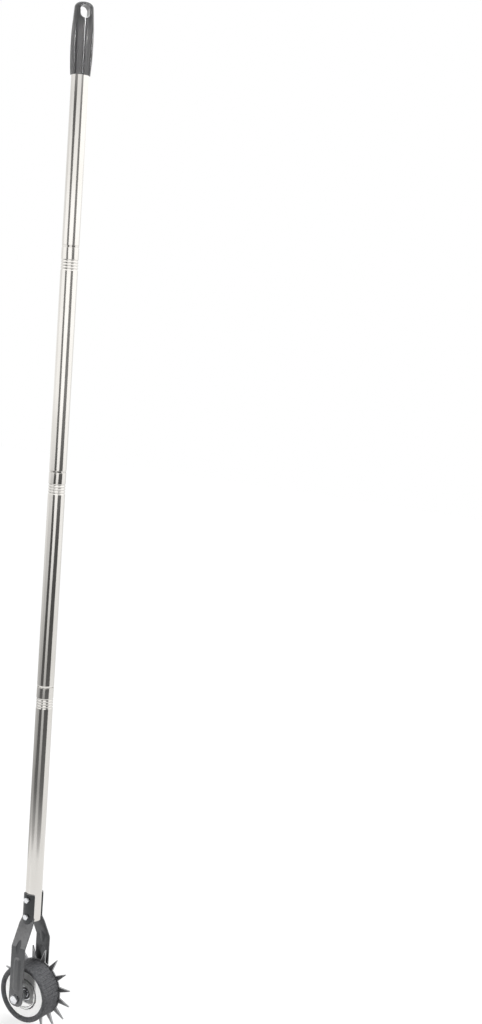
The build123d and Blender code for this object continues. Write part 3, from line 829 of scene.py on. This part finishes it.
print("8 mm flats reach", round(hexagon_reach(8.0, 0), 2), "mm at a corner")

# %% [markdown]
# ### Bolt and its thread
#
# A bolt is one such stack, from the tip of its shank to the shallow dish in its head. A thread is a
# ridge that climbs, so a three-cornered section is spun and lifted a little at every step. It shows
# only past the nuts, so only those ends are wound.

# %% Bolt and thread helpers
THREAD_STEPS = 32
# Height of the ridge's crest and of its upper edge, as shares of the pitch
THREAD_CREST = 0.45
THREAD_WIDTH = 0.9
# In mm: how deep the ridge sits in the shank, what stays bare at the tip, and at both ends
thread_sink = 0.1
thread_clear = 0.5
thread_bare = 1.2
# Washer face as a share of the flats, then its height and the start of the flats in mm
WASHER_SHARE = 0.93
washer_rise = 0.3
flats_rise = 0.35
# Rim and floor of the dish in a head as shares of the crown, then its depth in mm
DISH_RIM = 0.82
DISH_FLOOR = 0.76
dish_depth = 0.18
# Radius and chamfer of the tip as shares of the root, then the step up to the full shank in mm
TIP_SHARE = 0.8
TIP_SLOPE = 0.25
shank_step = 0.3


def thread(form, place, root, crest, pitch, start, turns):
    """One ridge wound round a bolt from a three-cornered section. Sizes are in mm."""
    inner = root - thread_sink
    corners = ((inner, start), (crest, start + pitch * THREAD_CREST), (inner, start + pitch * THREAD_WIDTH))
    before = set(form.verts)
    points = [form.verts.new(Vector((reach, 0, height)) * MM) for reach, height in corners]
    section = form.faces.new(points)
    bmesh.ops.spin(
        form, geom=[section], cent=(0, 0, 0), axis=(0, 0, 1), dvec=(0, 0, pitch * MM / THREAD_STEPS),
        angle=math.radians(360 * turns), steps=round(THREAD_STEPS * turns),
    )
    wound = [point for point in form.verts if point not in before]
    bmesh.ops.transform(form, matrix=place, verts=wound)


def hex_bolt(form, place, flats, head, radius, root, length, thread_length, pitch):
    """Bolt whose head starts at local height 0, with its shank below. Sizes are in mm."""
    thread_start = -length + thread_length
    washer_r = WASHER_SHARE * flats / 2
    crown_r = CROWN_START * flats / 2
    shank = [
        ("round", root * TIP_SHARE, -length), ("round", root, -length + root * TIP_SLOPE),
        ("round", root, thread_start), ("round", radius, thread_start + shank_step), ("round", radius, 0),
    ]
    crowned_head = [
        ("round", washer_r, 0), ("round", washer_r, washer_rise), ("hex", flats, flats_rise),
        ("crown", flats, head), ("round", crown_r, head), ("round", crown_r * DISH_RIM, head),
        ("round", crown_r * DISH_FLOOR, head - dish_depth),
    ]
    ring_stack(form, place, shank + crowned_head)
    turns = (thread_length - thread_bare) / pitch
    thread(form, place, root, radius, pitch, -length + thread_clear, turns)


print("a thread turn has", THREAD_STEPS, "steps")

# %% [markdown]
# ### The two fork bolts, their nuts and the axle bolt
#
# The fork bolts are M5, through tab, tube and tab, with nuts on the far side. The axle is an M8
# bolt with a self-locking nut, whose collar is rolled in over a nylon ring. The sizes follow the
# frame's own bolts and nuts, so each one sits where the frame has its seat.

# %% Bolts and nuts
HEX_CREASE = 22
saddle_r = 14.5 * MM
fork_bolt_heights = (axle.z + 125.0 * MM, axle.z + 151.7 * MM)
arm_outer_y = 29.6 * MM
fork_bolt_sizes = dict(
    flats=8.0, head=3.5, radius=2.5, root=2.1, length=34.5, thread_length=6.0, pitch=0.8,
)
axle_bolt_sizes = dict(
    flats=12.0, head=5.0, radius=3.98, root=3.35, length=68.9, thread_length=5.0, pitch=1.25,
)
# The nuts from their washer faces up: kind of ring, its radius or flats, and its height, in mm
fork_nut_rings = [
    ("round", 3.7, 0), ("round", 3.7, 0.25), ("hex", 8.0, 0.3), ("crown", 8.0, 4.0),
    ("round", 3.76, 4.0), ("round", 2.95, 4.0), ("round", 2.55, 3.6),
]
axle_nut_rings = [
    ("round", 6.1, 0), ("round", 6.1, 0.35), ("hex", 13.0, 0.4), ("crown", 13.0, 6.0),
    ("round", 6.11, 6.0), ("round", 5.95, 6.05), ("round", 5.9, 6.3), ("round", 5.9, 7.5),
    ("round", 5.82, 7.85), ("round", 5.65, 8.1), ("round", 5.4, 8.2), ("round", 5.2, 8.15),
    ("round", 5.12, 7.95), ("round", 5.12, 6.3),
]

fork_bolt_form = bmesh.new()
fork_nut_form = bmesh.new()
axle_bolt_form = bmesh.new()
axle_nut_form = bmesh.new()
for bolt_z in fork_bolt_heights:
    hex_bolt(fork_bolt_form, facing(-1, -saddle_r, bolt_z), **fork_bolt_sizes)
    ring_stack(fork_nut_form, facing(1, saddle_r, bolt_z), fork_nut_rings)
hex_bolt(axle_bolt_form, facing(-1, -arm_outer_y, axle.z), **axle_bolt_sizes)
ring_stack(axle_nut_form, facing(1, arm_outer_y, axle.z), axle_nut_rings)

fasteners = {
    "fork_hex_bolts": (fork_bolt_form, "fork_bolts"),
    "fork_hex_nuts": (fork_nut_form, "fork_nuts"),
    "axle_hex_bolt": (axle_bolt_form, "axle_bolt"),
    "axle_lock_nut": (axle_nut_form, "axle_nut"),
}
for piece_name, (form, node) in fasteners.items():
    bmesh.ops.recalc_face_normals(form, faces=form.faces)
    piece = finished_mesh(piece_name, form, zinc_steel, crease=HEX_CREASE)
    stand_in(piece, node, "handle")

# %% [markdown]
# ## Screws that hold the blade
#
# Four countersunk screws with cross recesses hold the star to the wheel. A cross is a three by
# three grid without its corners, so the head starts from that grid, and the flat between it and
# the round rim is filled. The cross is then pushed in, and the rim is extruded down the cone and
# along the shank. One screw is made, and a spin about the axle places the other three.

# %% Cross-head screws
SCREW_CREASE = 25
SCREW_COUNT = 4
SCREW_SIDES = 32
screw_circle_r = 28 * MM
screw_head_r = 4.0 * MM
screw_shank_r = 2.0 * MM
screw_rim = 0.15 * MM
screw_sink = 2.0 * MM
screw_length = 14 * MM
cross_reach = 2.0 * MM
cross_depth = 1.5 * MM
cross_taper = 0.72
blade_far_y = 22 * MM

screw_form = bmesh.new()
# The corner faces of a three by three grid lie beyond a third of its reach on both sides
bmesh.ops.create_grid(screw_form, x_segments=3, y_segments=3, size=cross_reach)
off_arms = []
for face in screw_form.faces:
    middle = face.calc_center_median()
    if min(abs(middle.x), abs(middle.y)) > cross_reach / 3:
        off_arms.append(face)
bmesh.ops.delete(screw_form, geom=off_arms, context="FACES")
cross = list(screw_form.faces)
cross_rim = [edge for edge in screw_form.edges if edge.is_boundary]
head_circle = bmesh.ops.create_circle(screw_form, segments=SCREW_SIDES, radius=screw_head_r)["verts"]
rim = [edge for edge in screw_form.edges if edge.verts[0] in head_circle]
bmesh.ops.triangle_fill(screw_form, edges=cross_rim + rim, use_beauty=True, normal=(0, 0, 1))
pushed = bmesh.ops.extrude_face_region(screw_form, geom=cross)["geom"]
bmesh.ops.delete(screw_form, geom=cross, context="FACES_ONLY")
for point in only(bmesh.types.BMVert, pushed):
    point.co = Vector((point.co.x * cross_taper, point.co.y * cross_taper, -cross_depth))
below_head = ((screw_head_r, screw_rim), (screw_shank_r, screw_sink), (screw_shank_r, screw_length))
for radius, depth in below_head:
    lowered = bmesh.ops.extrude_edge_only(screw_form, edges=rim)["geom"]
    for point in only(bmesh.types.BMVert, lowered):
        outwards = Vector((point.co.x, point.co.y, 0)).normalized() * radius
        point.co = Vector((outwards.x, outwards.y, -depth))
    rim = only(bmesh.types.BMEdge, lowered)
bmesh.ops.contextual_create(screw_form, geom=rim)

screw_side = screw_circle_r / math.sqrt(2)
first_screw = axle + Vector((screw_side, blade_far_y, screw_side))
bmesh.ops.transform(screw_form, matrix=facing(1, 0, 0), verts=screw_form.verts)
bmesh.ops.translate(screw_form, verts=screw_form.verts, vec=first_screw)
bmesh.ops.spin(
    screw_form, geom=everything(screw_form), cent=axle, axis=(0, 1, 0),
    angle=math.radians(360 - 360 / SCREW_COUNT), steps=SCREW_COUNT - 1, use_duplicate=True,
)
bmesh.ops.recalc_face_normals(screw_form, faces=screw_form.faces)
star_screws = finished_mesh("star_cross_screws", screw_form, zinc_steel, crease=SCREW_CREASE)
stand_in(star_screws, "star_screws", "wheel")

# %% [markdown]
# ## Star blade with ground edges
#
# The star is punched from plate, and its spikes are then ground, so their bevels and a narrow land
# along them are bare bright metal. The frame's plate already has the right outline and the bevels.
# A copy of it is merged into one skin, a thin band is inset along the near face's outline, and the
# band and the bevels get the bright finish where they belong to spikes.

# %% Ground spikes
STAR_CREASE = 20
# How far the normal of a flat face, and of a bevel, points along the axle
FLAT = 0.999
bevel_slopes = (0.3, 0.95)
ground_from_r = 45.0 * MM
ground_land = 0.5 * MM
star_merge = 0.01 * MM

ground_steel = new_finish("ground_steel", (0.62, 0.62, 0.63), roughness=0.34, metallic=1.0)
vary_colour(ground_steel, grain(ground_steel, 4 * MM), (0.50, 0.50, 0.51), (0.72, 0.72, 0.73))
vary_roughness(ground_steel, grain(ground_steel, 0.8 * MM), smooth=0.26, rough=0.44)
add_bump(ground_steel, grain(ground_steel, 0.4 * MM, detail=2.0), depth=0.02 * MM)


def out_from_axle(point):
    """Distance of a point from the axle's line."""
    return math.hypot(point.x - axle.x, point.z - axle.z)


def near_faces(form):
    """Faces that look straight at the near side."""
    return [face for face in form.faces if face.normal.y < -FLAT]


star_form = bmesh.new()
star_form.from_mesh(nodes["star_blade"].data)
bmesh.ops.remove_doubles(star_form, verts=star_form.verts, dist=star_merge)
bmesh.ops.dissolve_faces(star_form, faces=near_faces(star_form), use_verts=True)
land = bmesh.ops.inset_region(
    star_form, faces=near_faces(star_form), thickness=ground_land, depth=0,
    use_boundary=True, use_even_offset=True,
)["faces"]
ground_faces = 0
for face in star_form.faces:
    sloped = bevel_slopes[0] < abs(face.normal.y) < bevel_slopes[1]
    on_spike = out_from_axle(face.calc_center_median()) > ground_from_r
    if on_spike and (sloped or face in land):
        face.material_index = 1
        ground_faces += 1
ground_star = finished_mesh("ground_star", star_form, dark_steel, ground_steel, crease=STAR_CREASE)
stand_in(ground_star, "star_blade", "wheel")
print("ground faces:", ground_faces)

# %% [markdown]
# ## Tyre with a full shoulder
#
# The rubber tyre is moulded over the core's rim. Its near side swells past the white face in a soft
# lip, and shallow grooves run across its tread. The grooves repeat 48 times, so it would be a waste
# to model the whole ring. One pitch is made instead: the section is spun through a small angle in
# eight steps, two of the steps are sunk to make the groove, and a spin with copies closes the ring.

# %% Moulded tyre
TYRE_CREASE = 30
# Sizes of the section in mm: radius from the axle, then place along it
rim_r = 35.5
tyre_r = 43.5
near_face_y = -10.5
far_face_y = 20.0
locking_rib = [(rim_r, 10.75), (33.5, 9.75), (33.5, -0.25), (rim_r, -1.25)]
lip_corners = [(38.4, -14.3), (41.6, -14.7), (tyre_r, -12.4), (tyre_r, far_face_y)]
groove_depth = 0.6
lip_rounding = 1.2 * MM
tyre_merge = 0.005 * MM
TREAD_PITCHES = 48
PITCH_STEPS = 8
GROOVE_STEPS = (4, 5)
pitch_angle = math.radians(360 / TREAD_PITCHES)
groove_floor_r = (tyre_r - groove_depth) * MM


def step_of(point):
    """Which step of the pitch a point of the tyre belongs to."""
    turn = math.atan2(axle.z - point.z, point.x - axle.x)
    return round(turn / pitch_angle * PITCH_STEPS)


tyre_form = bmesh.new()
section = [(rim_r, near_face_y), *lip_corners, (rim_r, far_face_y), *locking_rib]
corners = closed_line(tyre_form, [axle + Vector((radius, place, 0)) * MM for radius, place in section])
bmesh.ops.bevel(
    tyre_form, geom=corners[1:1 + len(lip_corners)], offset=lip_rounding, affect="VERTICES",
    segments=4, profile=0.5, material=-1,
)
bmesh.ops.spin(
    tyre_form, geom=everything(tyre_form), cent=axle, axis=(0, 1, 0),
    angle=pitch_angle, steps=PITCH_STEPS,
)
for point in tyre_form.verts:
    reach = out_from_axle(point.co)
    if step_of(point.co) in GROOVE_STEPS and reach > groove_floor_r:
        inward = groove_floor_r / reach
        point.co.x = axle.x + (point.co.x - axle.x) * inward
        point.co.z = axle.z + (point.co.z - axle.z) * inward
bmesh.ops.spin(
    tyre_form, geom=everything(tyre_form), cent=axle, axis=(0, 1, 0),
    angle=math.radians(360) - pitch_angle, steps=TREAD_PITCHES - 1, use_duplicate=True,
)
bmesh.ops.remove_doubles(tyre_form, verts=tyre_form.verts, dist=tyre_merge)
bmesh.ops.recalc_face_normals(tyre_form, faces=tyre_form.faces)
open_edges = sum(1 for edge in tyre_form.edges if not edge.is_manifold)
moulded_tyre = finished_mesh("moulded_tyre", tyre_form, tyre_rubber, crease=TYRE_CREASE)
stand_in(moulded_tyre, "tyre", "wheel")
print("open edges of the tyre:", open_edges)

# %% [markdown]
# ## Sizes
#
# The dressed tool has to stay as large as the frame. Eyes miss a millimetre on a tool of this
# length, so the two boxes are compared and the difference is printed.

# %% Compare sizes
visual_low, visual_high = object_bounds()
grown = (visual_high - visual_low) - (cad_high - cad_low)
print("grown by:", [round(side / MM, 2) for side in grown], "mm")
